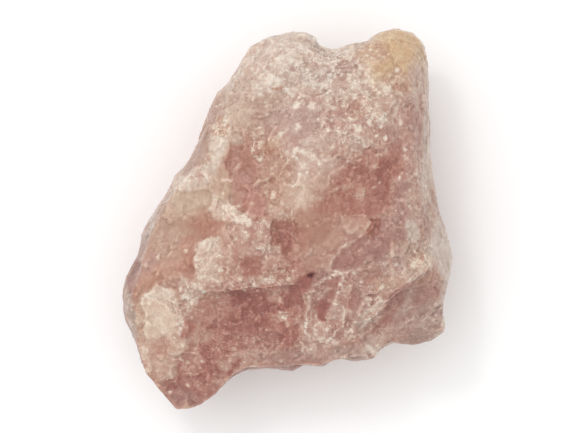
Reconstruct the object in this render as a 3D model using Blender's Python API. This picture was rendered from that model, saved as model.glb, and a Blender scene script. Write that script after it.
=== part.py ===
"""A rough chunk of rose quartz, as it is broken from the vein.

One natural solid. It lies on its one flat fracture face with its broad, best face up.
The block is a loft of rings that follow the chunk's outline. It is then knapped the way the
real one was: flat breaks are planes, and shell-shaped breaks are spheres taken out of it.
Units are metres, +Z is up, and the origin is on the ground under the middle of the chunk.
"""

import math

import bmesh
import bpy
from mathutils import Matrix, Vector, noise

MM = 0.001

# Driving dimensions, in millimetres. The outline is 87.5 wide and 100 long before the breaks.
THICKNESS = 46.0
BASE_CUT = 1.6  # depth of stone taken off below, which leaves the flat resting face
CENTRE = Vector((0.5, -3.0))  # the rings shrink and grow about this point
STEPS_BETWEEN_LEVELS = 3
SIDE_ROUGHNESS = 0.8  # how far the broken sides wander in and out, away from the outline
SIDE_GRAIN = 9.0  # size of that wandering
SIDE_SEED = 11

# The outline seen from above, anticlockwise from the lower left tip.
OUTLINE = (
    (-29.0, -50.0), (-26.0, -49.8), (-23.0, -49.0), (-19.0, -46.2), (-14.5, -42.0),
    (-10.5, -39.8), (-5.0, -39.5), (1.5, -40.1), (4.5, -38.7), (9.5, -39.2),
    (12.5, -37.0), (17.5, -37.6), (22.5, -37.0), (24.5, -34.2), (28.0, -32.7),
    (33.5, -33.3), (37.5, -32.0), (41.0, -29.7), (41.6, -27.6), (40.3, -25.8),
    (41.2, -20.5), (42.8, -14.8), (43.8, -11.0), (42.0, -4.0), (40.0, 2.0),
    (39.2, 6.5), (38.1, 13.0), (37.3, 19.0), (37.3, 25.0), (36.9, 31.0),
    (37.2, 37.0), (36.6, 42.5), (35.4, 46.6), (32.8, 49.1), (28.3, 50.2),
    (23.6, 49.0), (20.8, 47.0), (15.8, 46.0), (13.4, 45.0), (10.6, 45.0),
    (8.0, 46.2), (7.0, 48.3), (5.0, 49.5), (0.0, 49.4), (-4.6, 48.0),
    (-9.6, 45.6), (-12.6, 40.6), (-15.6, 35.7), (-18.6, 33.2), (-20.4, 29.2),
    (-22.0, 24.5), (-23.6, 20.0), (-27.0, 14.2), (-30.0, 11.6), (-30.6, 9.6),
    (-33.2, 5.0), (-36.2, 0.0), (-38.5, -5.0), (-40.0, -10.4), (-42.6, -15.2),
    (-43.7, -20.0), (-42.7, -26.6), (-40.2, -31.6), (-38.6, -36.2), (-37.2, -40.4),
    (-33.2, -45.4),
)

# The block's rings: height, share of the outline's size, shift in x and y, rounds of smoothing.
LEVELS = (
    (-2.0, 0.76, 1.0, 1.0, 10),
    (6.0, 0.90, 0.5, 0.5, 5),
    (13.0, 0.97, 0.0, 0.0, 2),
    (20.0, 1.008, 0.0, 0.0, 0),
    (26.0, 1.0, 0.0, 0.0, 0),
    (33.0, 0.95, 0.0, -0.5, 2),
    (41.0, 0.84, 0.0, -1.0, 5),
    (THICKNESS + 2.0, 0.62, 0.0, -1.5, 10),
)

# Flat breaks: a point on the break, the way it faces (degrees from +X), and its slope from level.
FLAT_BREAKS = {
    "crown": ((2, 8, 45.2), 100, 3),
    "left_slope": ((-20, 8, 39.5), 168, 23),
    "far_slope": ((0, 26, 42.5), 97, 20),
    "far_right_shoulder": ((26, 38, 39.0), 52, 26),
    "right_slope": ((29, 12, 40.5), 5, 27),
    "right_bevel": ((39, -6, 31), 5, 64),
    "lower_left_slope": ((-16, -20, 37.5), 228, 23),
    "near_slope": ((6, -18, 38), 274, 25),
    "upper_left_bevel": ((-20.5, 22, 35.5), 154, 58),
    "left_bevel": ((-38, -2, 27), 158, 62),
    "far_bevel": ((0, 48.5, 28), 92, 60),
    "left_side": ((-30.6, 12.0, 20), 152, 100),
    "lower_left_side": ((-43.2, -26.8, 20), 200, 108),
    "tip_side": ((-29.4, -50.7, 20), 238, 112),
    "near_right_side": ((33.2, -35, 20), 291, 112),
    "right_side": ((44.3, -11, 20), 356, 110),
    "far_right_side": ((36, 47.3, 20), 34, 118),
    "far_side": ((-5, 48.8, 20), 108, 108),
    "under_left": ((-32, -12, 6), 196, 146),
    "under_far": ((10, 38, 6), 70, 150),
    "under_right": ((36, -6, 6), 332, 140),
    "under_near": ((-8, -38, 5), 250, 146),
}

# Steps, where a break stopped short and left a ledge. The foot of the ledge runs from one point
# to the other with the broken floor on its right, and the last number is how the floor rises.
STEP_BREAKS = {
    "lower_ledge": ((-26.5, -19.0, 33.4), (2.5, -16.6, 36.4), -13),
    "middle_ledge": ((-3.4, -9.2, 40.6), (-4.2, -0.6, 43.2), 11),
    "right_ledge": ((18, -28.6, 30.4), (36, -13, 35.4), -23),
    "near_step": ((-20, -36.4, 13), (4, -33.6, 15), -80),
    "far_step": ((16, 41.5, 13), (-2, 43.8, 12), -82),
}
STEP_SPLAY = 22.0  # how far the ends of a step open out over its reach
STEP_REACH = 60.0

# Shell-shaped breaks: the deepest point, the way the hollow faces, its slope, and its radius.
SHELL_BREAKS = {
    "left_hollow": ((-29.5, -3, 32.4), 165, 24, 34),
    "rosy_hollow": ((-10.5, 12.5, 41.4), 150, 12, 27),
    "deep_rose_hollow": ((21, 11, 40.8), 300, 8, 30),
    "middle_shell": ((11.5, -6, 41.8), 290, 12, 32),
    "tip_shell": ((-25, -41, 26.2), 236, 22, 27),
    "far_granular_dish": ((6, 35, 38.6), 95, 22, 38),
    "near_flute": ((10, -33, 29.8), 266, 30, 20),
    "corner_shell": ((-16.5, -40.5, 9), 304, 102, 24),
    "right_side_shell": ((37.0, 14, 13), 3, 96, 60),
    "right_near_side_shell": ((41.0, -14, 11), 350, 106, 48),
    "near_side_shell": ((8, -36.4, 12), 278, 98, 36),
    "near_right_side_shell": ((31, -31, 10), 298, 108, 40),
    "left_side_shell": ((-38.6, -14, 11), 184, 106, 46),
    "upper_left_side_shell": ((-20.2, 24, 12), 152, 98, 55),
    "far_side_shell": ((13.5, 42.4, 11), 84, 96, 18),
    "knob_side_shell": ((35, 38, 11), 20, 106, 38),
    "far_left_side_shell": ((-10, 40, 12), 128, 102, 38),
}


def break_normal(azimuth, slope):
    """The outward direction of a break that faces azimuth and slopes so far from level."""
    a, s = math.radians(azimuth), math.radians(slope)
    return Vector((math.sin(s) * math.cos(a), math.sin(s) * math.sin(a), math.cos(s)))


def smoothed(points, rounds):
    """The closed outline with each point drawn towards its neighbours."""
    for _ in range(rounds):
        count = len(points)
        points = [
            (points[i - 1] + 2 * points[i] + points[(i + 1) % count]) / 4 for i in range(count)
        ]
    return points


def ring_points(height, share, shift_x, shift_y, rounds):
    """One ring of the block, with the sides wandering in and out as broken stone does."""
    flat = smoothed([Vector(p) for p in OUTLINE], rounds)
    roughness = SIDE_ROUGHNESS * min(1, 20 * (1 - share))
    ring = []
    for point in flat:
        x, y = CENTRE + (point - CENTRE) * share + Vector((shift_x, shift_y))
        wander = noise.noise_vector(Vector((x, y, height)) / SIDE_GRAIN) * roughness
        ring.append(Vector((x + wander.x, y + wander.y, height)) * MM)
    return ring


def between(low, high, share):
    """The level that lies so far from low to high."""
    return tuple(a + (b - a) * share for a, b in zip(low[:4], high[:4])) + (
        round(low[4] + (high[4] - low[4]) * share),
    )


def block_levels():
    """LEVELS with steps put in between them, so that the sides can wander."""
    for low, high in zip(LEVELS, LEVELS[1:]):
        for step in range(STEPS_BETWEEN_LEVELS):
            yield between(low, high, step / STEPS_BETWEEN_LEVELS)
    yield LEVELS[-1]


def make_block():
    """The unbroken block, a closed loft of rings."""
    shape = bmesh.new()
    rings = [[shape.verts.new(p) for p in ring_points(*level)] for level in block_levels()]
    for low, high in zip(rings, rings[1:]):
        for i in range(len(low)):
            j = (i + 1) % len(low)
            shape.faces.new((low[i], low[j], high[j], high[i]))
    shape.faces.new(reversed(rings[0]))
    shape.faces.new(rings[-1])
    bmesh.ops.recalc_face_normals(shape, faces=shape.faces)
    mesh = bpy.data.meshes.new("rose_quartz")
    shape.to_mesh(mesh)
    shape.free()
    return bpy.data.objects.new("rose_quartz", mesh)


def make_cutter(name, fill, matrix, collection):
    """A hidden helper that a Boolean takes out of the block."""
    shape = bmesh.new()
    fill(shape)
    shape.transform(matrix)
    mesh = bpy.data.meshes.new(name)
    shape.to_mesh(mesh)
    shape.free()
    cutter = bpy.data.objects.new(name, mesh)
    cutter.hide_render = True
    cutter.display_type = "WIRE"
    collection.objects.link(cutter)
    return cutter


def flat_cutter(name, point, azimuth, slope, collection):
    """A box that lies on the plane of a flat break."""
    size = 180 * MM
    normal = break_normal(azimuth, slope)
    turn = normal.to_track_quat("Z", "Y").to_matrix().to_4x4()
    place = Matrix.Translation(Vector(point) * MM + normal * size / 2) @ turn
    return make_cutter(name, lambda s: bmesh.ops.create_cube(s, size=size), place, collection)


def shell_cutter(name, deepest, azimuth, slope, radius, collection):
    """A ball whose surface is the hollow of a shell-shaped break."""
    centre = Vector(deepest) * MM + break_normal(azimuth, slope) * radius * MM
    return make_cutter(
        name,
        lambda s: bmesh.ops.create_icosphere(s, subdivisions=4, radius=radius * MM),
        Matrix.Translation(centre),
        collection,
    )


def fill_step(shape, length):
    """A block that starts as long as the ledge's foot and opens out away from it."""
    bmesh.ops.create_cube(shape, size=1)
    for vert in shape.verts:
        x, z = (vert.co.x + 0.5) * STEP_REACH, (vert.co.z + 0.5) * STEP_REACH
        splay = math.copysign(STEP_SPLAY * (x + z) / STEP_REACH, vert.co.y)
        vert.co = Vector((x * MM, (vert.co.y + 0.5) * length + splay * MM, z * MM))


def step_cutter(name, foot_start, foot_end, rise, collection):
    """A block whose lower edge is the foot of a ledge and whose underside is the broken floor."""
    start, end = Vector(foot_start) * MM, Vector(foot_end) * MM
    along = (end - start).normalized()
    outward = along.cross(Vector((0, 0, 1))).normalized()
    outward.rotate(Matrix.Rotation(math.radians(-rise), 3, along))
    turn = Matrix((outward, along, outward.cross(along))).transposed().to_4x4()
    place = Matrix.Translation(start) @ turn
    return make_cutter(
        name, lambda s: fill_step(s, (end - start).length), place, collection
    )


def ground_cutter(collection):
    """The box that leaves the flat face which the chunk rests on."""
    size = 200 * MM
    place = Matrix.Translation((0, 0, BASE_CUT * MM - size / 2))
    return make_cutter(
        "ground_break", lambda s: bmesh.ops.create_cube(s, size=size), place, collection
    )


def take_out(block, cutters):
    """Takes every cutter in the collection out of the block at once."""
    boolean = block.modifiers.new("breaks", "BOOLEAN")
    boolean.operation = "DIFFERENCE"
    boolean.solver = "EXACT"
    boolean.operand_type = "COLLECTION"
    boolean.collection = cutters


def rose_quartz_material():
    material = bpy.data.materials.new("rose_quartz")
    material.use_nodes = True
    shader = material.node_tree.nodes["Principled BSDF"]
    shader.inputs["Base Color"].default_value = (0.56, 0.34, 0.28, 1.0)
    shader.inputs["Roughness"].default_value = 0.4
    shader.inputs["IOR"].default_value = 1.544
    shader.inputs["Metallic"].default_value = 0.0
    return material


def stand_over_origin(block, frame):
    """Moves the frame so that the origin is on the ground under the middle of the chunk."""
    bpy.context.view_layer.update()
    graph = bpy.context.evaluated_depsgraph_get()
    mesh = bpy.data.meshes.new_from_object(block.evaluated_get(graph))
    low = [min(v.co[axis] for v in mesh.vertices) for axis in range(3)]
    high = [max(v.co[axis] for v in mesh.vertices) for axis in range(3)]
    bpy.data.meshes.remove(mesh)
    frame.location = (-(low[0] + high[0]) / 2, -(low[1] + high[1]) / 2, -low[2])


def main():
    for old in list(bpy.data.objects):
        bpy.data.objects.remove(old)
    noise.seed_set(SIDE_SEED)

    stone = bpy.data.collections.new("rose_quartz_chunk")
    breaks = bpy.data.collections.new("breaks")
    breaks.hide_render = True
    bpy.context.scene.collection.children.link(stone)
    bpy.context.scene.collection.children.link(breaks)

    block = make_block()
    block.data.materials.append(rose_quartz_material())
    stone.objects.link(block)
    cutters = [flat_cutter(name, *where, breaks) for name, where in FLAT_BREAKS.items()]
    cutters += [shell_cutter(name, *where, breaks) for name, where in SHELL_BREAKS.items()]
    cutters += [step_cutter(name, *where, breaks) for name, where in STEP_BREAKS.items()]
    cutters.append(ground_cutter(breaks))
    take_out(block, breaks)

    frame = bpy.data.objects.new("chunk_frame", None)
    stone.objects.link(frame)
    for held in [block, *cutters]:
        held.parent = frame
    stand_over_origin(block, frame)


main()
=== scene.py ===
import itertools
import math

import bpy
import numpy as np
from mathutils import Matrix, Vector


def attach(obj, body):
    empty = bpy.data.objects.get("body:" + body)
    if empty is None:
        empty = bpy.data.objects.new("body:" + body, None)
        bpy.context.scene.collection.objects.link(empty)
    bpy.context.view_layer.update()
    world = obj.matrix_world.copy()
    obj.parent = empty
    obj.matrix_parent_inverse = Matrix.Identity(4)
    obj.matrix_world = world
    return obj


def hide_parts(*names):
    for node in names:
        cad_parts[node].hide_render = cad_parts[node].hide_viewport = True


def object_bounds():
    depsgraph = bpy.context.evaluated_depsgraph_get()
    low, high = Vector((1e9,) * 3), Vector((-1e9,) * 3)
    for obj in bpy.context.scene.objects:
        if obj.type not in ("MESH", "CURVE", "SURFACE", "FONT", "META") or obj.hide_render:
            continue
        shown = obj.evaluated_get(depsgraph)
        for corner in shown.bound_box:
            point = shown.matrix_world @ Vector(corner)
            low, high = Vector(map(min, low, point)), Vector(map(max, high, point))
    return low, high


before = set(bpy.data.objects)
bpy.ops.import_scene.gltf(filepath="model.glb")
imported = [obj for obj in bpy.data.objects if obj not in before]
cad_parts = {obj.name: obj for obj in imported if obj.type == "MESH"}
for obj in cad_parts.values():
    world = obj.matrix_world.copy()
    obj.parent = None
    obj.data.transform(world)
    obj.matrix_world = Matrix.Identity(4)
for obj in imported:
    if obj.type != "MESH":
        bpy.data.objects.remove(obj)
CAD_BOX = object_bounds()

# ---------------------------------------------------------------------------
# The chunk: one piece of rough rose quartz, broken from a massive vein.
# It is one crystalline solid. It was struck off with a hammer, so its skin is flat breaks,
# shell-shaped breaks, ledges where a break stopped short, and crushed granular patches.
# ---------------------------------------------------------------------------
MM = 0.001
GRAIN_OF_MESH = 0.45  # mm between points of the surface


def even_mesh(solid):
    """The plain chunk with its surface split into small even faces, ready to be worked."""
    work = bpy.data.objects.new("work", solid.data.copy())
    bpy.context.scene.collection.objects.link(work)
    remesh = work.modifiers.new("even", "REMESH")
    remesh.mode = "VOXEL"
    remesh.voxel_size = GRAIN_OF_MESH * MM
    graph = bpy.context.evaluated_depsgraph_get()
    mesh = bpy.data.meshes.new_from_object(work.evaluated_get(graph))
    bpy.data.objects.remove(work)
    return mesh


class Skin:
    """The points of the chunk's surface in mm, with what is needed to work them."""

    def __init__(self, mesh):
        self.mesh = mesh
        count = len(mesh.vertices)
        flat = np.zeros(count * 3)
        mesh.vertices.foreach_get("co", flat)
        self.points = flat.reshape(-1, 3) / MM
        pairs = np.zeros(len(mesh.edges) * 2, np.int64)
        mesh.edges.foreach_get("vertices", pairs)
        self.pairs = pairs.reshape(-1, 2)
        self.degree = np.bincount(self.pairs.ravel(), minlength=count)
        self.refresh()

    def refresh(self):
        """Writes the points back to the mesh and measures the normals again."""
        self.mesh.vertices.foreach_set("co", (self.points * MM).ravel())
        self.mesh.update()
        normals = np.zeros(len(self.points) * 3)
        self.mesh.vertex_normals.foreach_get("vector", normals)
        self.normals = normals.reshape(-1, 3)

    def neighbours(self, values):
        """The mean of each point's neighbours' values."""
        a, b = self.pairs[:, 0], self.pairs[:, 1]
        out = np.empty_like(values)
        for k in range(values.shape[1]):
            column = values[:, k]
            total = np.bincount(a, column[b], len(values)) + np.bincount(b, column[a], len(values))
            out[:, k] = total / self.degree
        return out

    def relaxed(self, values, rounds):
        """The values after each point has moved half way to its neighbours, that many times."""
        for _ in range(rounds):
            values = values + 0.5 * (self.neighbours(values) - values)
        return values


def smooth(low, high, value):
    """0 at low, 1 at high, and eased between. High may be less than low."""
    t = np.clip((value - low) / (high - low), 0, 1)
    return t * t * (3 - 2 * t)


RIM = 22.0  # mm above the ground where the chunk is widest, and its outline is kept
GROUND_BAND = (0.6, 3.1)  # mm above the ground over which the sides begin to be worked


def near_rim(reach):
    """1 at the height of the rim, fading with that reach in mm above and below it."""
    return np.exp(-(((skin.points[:, 2] - RIM) / reach) ** 2))


skin = Skin(even_mesh(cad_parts["rose_quartz"]))
broad = skin.relaxed(skin.normals, 12)
broad /= np.linalg.norm(broad, axis=1)[:, None]
# Heights are in mm, and level is 1 where the surface faces straight up.
lift, level = skin.points[:, 2], broad[:, 2]
above_ground = smooth(*GROUND_BAND, lift)
on_top = smooth(0.30, 0.62, level) * smooth(17, 21, lift)
on_side = (1 - on_top) * above_ground
# The upper face's patches run a little way down the rim, and further down at the far end.
upper_skin = np.maximum(smooth(0.02, 0.30, level) * smooth(13, 19, lift), smooth(22, 26, lift))
far_end = smooth(38, 42, skin.points[:, 1]) * smooth(6, 14, lift)
upper_skin = np.maximum(upper_skin, far_end)

# The sides: many overlapping shell-shaped breaks, from thumbnail size down. They are shallow
# near the rim, so that the outline is kept.
SIDE_BREAKS = (
    # smallest and largest radius, deepest bite in mm, and how many
    (22, 40, 1.6, 26),
    (9, 20, 0.9, 90),
    (3, 8, 0.4, 420),
)
SEED = 5


def scoop(deepest, lean, radius, most, share):
    """Presses what faces the ball and is inside it towards its surface: a shell-shaped break."""
    offset = skin.points - (deepest + lean * radius)
    distance = np.sqrt((offset * offset).sum(axis=1))
    inside = (distance < radius) & (share > 0.02) & (skin.normals @ lean > 0.2)
    push = np.minimum(radius - distance[inside], most) * share[inside]
    skin.points[inside] += offset[inside] * (push / distance[inside])[:, None]


draw = np.random.default_rng(SEED)
side_points = np.flatnonzero(on_side > 0.6)
bite = on_side * (1 - 0.9 * near_rim(reach=4.5))
for smallest, largest, depth, count in SIDE_BREAKS:
    for _ in range(count):
        at = draw.choice(side_points)
        radius = draw.uniform(smallest, largest)
        lean = broad[at] + draw.normal(0, 0.16, 3)
        lean /= np.linalg.norm(lean)
        deepest = skin.points[at] - lean * depth * draw.uniform(0.3, 1)
        scoop(deepest, lean, radius, depth, bite)


def random_of(cell, seed):
    """A steady random number from 0 to 1 for each whole-numbered cell."""
    n = cell.astype(np.int64) & 0xFFFFFFFF
    mixed = (n[:, 0] * 73856093) ^ (n[:, 1] * 19349663) ^ (n[:, 2] * 83492791) ^ (seed * 2654435761)
    mixed = mixed & 0xFFFFFFFF
    for _ in range(2):
        mixed = ((mixed ^ (mixed >> 16)) * 0x45D9F3B) & 0xFFFFFFFF
    return ((mixed ^ (mixed >> 16)) & 0xFFFFFF) / 0xFFFFFF


def noise(points, size, seed):
    """Smooth noise from -1 to 1 with features of that size."""
    scaled = points / size + 1000.37
    base = np.floor(scaled)
    part = scaled - base
    part = part * part * part * (part * (part * 6 - 15) + 10)
    total = 0
    for corner in itertools.product((0, 1), repeat=3):
        weight = np.prod(np.where(corner, part, 1 - part), axis=1)
        total = total + weight * random_of(base + corner, seed)
    return total * 2 - 1


def cloud(size, seed, layers=4, fall=0.5, stretch=None):
    """Layered noise over the skin, each layer half the size of the last."""
    points = skin.points if stretch is None else skin.points @ stretch
    total, weight, full = 0, 1, 0
    for layer in range(layers):
        total = total + weight * noise(points, size / 2**layer, seed + 17 * layer)
        full += weight
        weight *= fall
    return total / full


def drift(ways, size, seed, layers, fall=0.5):
    """A separate cloud for each of that many ways, to push points or patches about."""
    return np.stack([cloud(size, seed + k, layers, fall) for k in range(ways)], axis=1)


def along_line(xy, points):
    """Distance to a line of points, the side, positive to the right of the way it runs, and how
    far along it is, from 0 to 1."""
    best = np.full(len(xy), 1e9)
    side = np.zeros(len(xy))
    along = np.ones(len(xy))
    count = len(points) - 1
    for i, (a, b) in enumerate(zip(points, points[1:])):
        a, b = np.array(a, float), np.array(b, float)
        run = b - a
        held = np.clip(((xy - a) @ run) / (run @ run), 0, 1)
        gap = xy - (a + held[:, None] * run)
        distance = np.hypot(gap[:, 0], gap[:, 1])
        closer = distance < best
        best = np.where(closer, distance, best)
        right = gap[:, 0] * run[1] - gap[:, 1] * run[0]
        side = np.where(closer, np.sign(right), side)
        along = np.where(closer, (i + held) / count, along)
    return best, side, along


# The upper face is softened and stirred first, so that no straight edge is left in it.
SOFTENING = 90  # rounds of it
STIR = 0.9  # mm
softened = on_top * smooth(26, 30, skin.points[:, 2])
skin.points += (skin.relaxed(skin.points, SOFTENING) - skin.points) * softened[:, None]
stirred = STIR * on_top * smooth(24, 27, skin.points[:, 2])
skin.points[:, :2] += drift(2, size=4.5, seed=21, layers=3) * stirred[:, None]

# Ledges, each a depth, how far the low ground reaches and a line of points, in mm. The low side
# is on the right as the points run, and the ledge dies out at both ends.
LEDGES = (
    (1.1, 7, ((-36, -42.6), (-33, -43.2), (-30.4, -41), (-29.6, -36.4), (-26.6, -33),
     (-26.2, -28), (-27, -24), (-28.2, -20.6))),
    (0.9, 6, ((-28.6, -19.6), (-31, -17.8), (-34.5, -17.2), (-38, -19.8), (-40, -23),
     (-40.4, -29))),
    (0.6, 3, ((-20, 6.6), (-20.3, 2.3), (-19.2, 0.2), (-16.3, -1), (-12.5, -0.8),
     (-9.6, -1.2), (-9, -0.2), (-12.5, 1.6), (-14.4, 3.4), (-18.1, 4.6))),
    (1.2, 6, ((-16.4, -4.3), (-19, -4.1), (-22, -5.1), (-24.6, -7.5), (-25, -11),
     (-24.6, -15))),
    (1.1, 7, ((11, -13), (12.2, -10.4), (14.8, -7.4), (17.2, -5.4), (19.8, -4.5),
     (20.3, -1), (19.8, 0.5))),
    (0.8, 4, ((20, 0.3), (24.5, 0.8), (27, -0.5))),
    (0.8, 4, ((27.5, -5.5), (26.4, -11), (27, -15.4))),
    (1.3, 6, ((17.4, -29.2), (20, -26.8), (24, -24.6), (26, -21.6), (30, -18.6),
     (33.5, -15.4), (37.6, -12))),
    (0.5, 6, ((-20, -17.9), (-18, -17.6), (-14, -17.9), (-6, -18.1), (2, -16.8))),
    (0.4, 4, ((-0.6, -10.4), (-2.6, -7.6), (-3.4, -4), (-3.3, 0))),
    (0.7, 6, ((-15, 3), (-15, 9), (-15.8, 15), (-15, 21))),
    (0.6, 4, ((-18, 29), (-19, 24), (-19.9, 17), (-19.6, 12), (-24, 11.6), (-30, 11.3))),
    (0.9, 7, ((-31, 8.6), (-26, 7.2), (-21, 7.0), (-19.6, 4.5), (-20, 1))),
    (0.7, 5, ((25.6, 24), (25.2, 17), (21, 17.6), (16, 16), (12, 12), (9.6, 7))),
    (0.35, 3, ((7.6, -19.6), (6.8, -23.5), (8.3, -26.8))),
    (0.3, 3, ((9.6, -27), (10.8, -22.5), (8.6, -19.6))),
    (0.5, 4, ((-20, -34.5), (-14, -32.6), (-8, -32), (-4, -30), (-4.6, -25))),
    (0.35, 4, ((5, -31), (3.5, -24), (6.6, -18), (9, -13.4))),
)
LEDGE_SHARE = 0.6  # of each depth
LEDGE_FACE = (-0.5, 0.6)  # mm across the line over which the ground falls
LEDGE_ENDS = 0.12  # share of the line over which it dies out

# Ribs of the fan and other raised lines: height, half width and a line of points, in mm.
RIBS = (
    (0.5, 0.9, ((14.5, -15), (13.2, -18), (11, -24), (9.5, -29), (7, -34))),
    (0.5, 0.9, ((5.5, -19.5), (5.2, -26), (5.4, -34))),
    (0.5, 0.8, ((21, -17), (20, -21), (17.5, -27), (16, -31))),
    (0.4, 0.8, ((24, -16), (22, -22), (20, -25.6))),
    (0.4, 0.8, ((17.4, -15), (16, -20), (13.6, -27), (10.6, -33.4))),
    (0.4, 0.9, ((24, -28), (19, -30.6), (13, -33), (8, -35))),
    (0.35, 0.7, ((26, -7.5), (25, -12), (24, -16))),
    (0.4, 0.7, ((0, -26), (1, -31), (0, -37))),
    (0.4, 0.7, ((-9, -21), (-13, -24), (-16, -29))),
    (0.4, 0.8, ((-16, -33), (-20, -38), (-22, -44))),
    (0.35, 0.7, ((-24, -34), (-25, -39), (-28, -43))),
    (0.3, 0.6, ((33, -6), (33.6, -10), (36, -13))),
)
RIB_ENDS = (0.2, 0.3)  # share of the line over which it rises from its start and dies at its end

wander = 0.9 * drift(2, size=3.0, seed=31, layers=3) + drift(2, size=8.0, seed=37, layers=2)
xy = skin.points[:, :2] + wander
rise = np.zeros(len(xy))
for depth, reach, points in LEDGES:
    distance, side, along = along_line(xy, points)
    signed = distance * side
    step = smooth(*LEDGE_FACE, signed) * np.exp(-((np.maximum(signed, 0) / reach) ** 1.6))
    taper = smooth(0, LEDGE_ENDS, along) * smooth(0, LEDGE_ENDS, 1 - along)
    rise = rise - LEDGE_SHARE * depth * step * taper
for height, half_width, points in RIBS:
    distance, _, along = along_line(xy, points)
    taper = smooth(0, RIB_ENDS[0], along) * smooth(0, RIB_ENDS[1], 1 - along)
    rise = rise + height * np.exp(-((distance / half_width) ** 2)) * taper
skin.points[:, 2] += rise * on_top
skin.refresh()

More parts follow.
